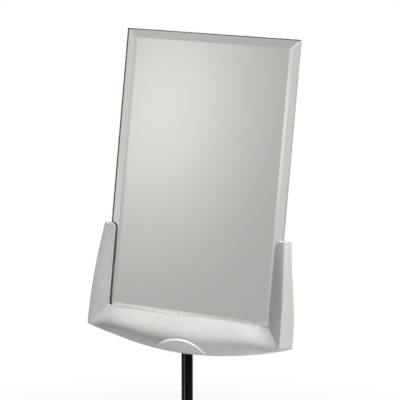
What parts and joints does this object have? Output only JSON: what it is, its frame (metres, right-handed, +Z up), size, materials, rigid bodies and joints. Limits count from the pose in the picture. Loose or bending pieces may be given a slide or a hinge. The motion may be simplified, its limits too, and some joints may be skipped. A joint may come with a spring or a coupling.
{
  "type": "countertop mirror",
  "caption": "Portrait bevelled mirror in a U-shaped moulded cradle that tilts on a friction hinge and swivels on a round stem in a weighted base, for trying on spectacles at a counter.",
  "frame": {"origin": "under the centre of the base, on the swivel axis, at the counter", "axes": "+Z up along the stem, mirror facing -Y, +X to the viewer's right"},
  "size_m": [0.2244, 0.19, 0.5238],
  "materials": {
    "silver_plastic": "silver-grey moulding, finely textured",
    "badge_plastic": "plain satin plate",
    "mirror": "silvered glass with a ground bevel",
    "backing_board": "dark pressed board",
    "rubber": "matt black",
    "black_gloss": "gloss black enamel",
    "black_powder": "black powder coat",
    "zinc_steel": "zinc plated",
    "nylon": "natural nylon"
  },
  "bodies": {
    "base": {"base_plate": "black_powder", "foot_pad": "rubber", "stem_collar": "black_powder", "swivel_bush_upper": "nylon", "swivel_bush_lower": "nylon", "collar_screw_1": "zinc_steel", "collar_screw_2": "zinc_steel", "collar_screw_3": "zinc_steel"},
    "stem": {"stem_rod": "black_gloss", "tilt_knuckle": "zinc_steel", "cross_pin": "zinc_steel", "stem_washer": "zinc_steel", "stem_bolt": "zinc_steel"},
    "cradle": {"front_shell": "silver_plastic", "rear_cover": "silver_plastic", "half_moon_badge": "badge_plastic", "mirror_glass": "mirror", "mirror_backing": "backing_board", "bottom_pad_left": "rubber", "bottom_pad_right": "rubber", "side_pad_left": "rubber", "side_pad_right": "rubber", "hinge_bracket": "zinc_steel", "hinge_pin": "zinc_steel", "friction_washer_left": "nylon", "friction_washer_right": "nylon", "disc_spring_inner": "zinc_steel", "disc_spring_outer": "zinc_steel", "hinge_nut": "zinc_steel", "bracket_screw_1": "zinc_steel", "bracket_screw_2": "zinc_steel", "bracket_screw_3": "zinc_steel", "bracket_screw_4": "zinc_steel", "cover_screw_1": "zinc_steel", "cover_screw_2": "zinc_steel", "cover_screw_3": "zinc_steel", "cover_screw_4": "zinc_steel"}
  },
  "joints": [
    {"name": "swivel", "type": "hinge", "parent": "base", "child": "stem", "pos_m": [0, 0, 0.0507], "axis": [0, 0, 1], "continuous": true},
    {"name": "tilt", "type": "hinge", "parent": "stem", "child": "cradle", "pos_m": [0, 0, 0.21], "axis": [-1, 0, 0], "range_deg": [-8, 14]}
  ]
}
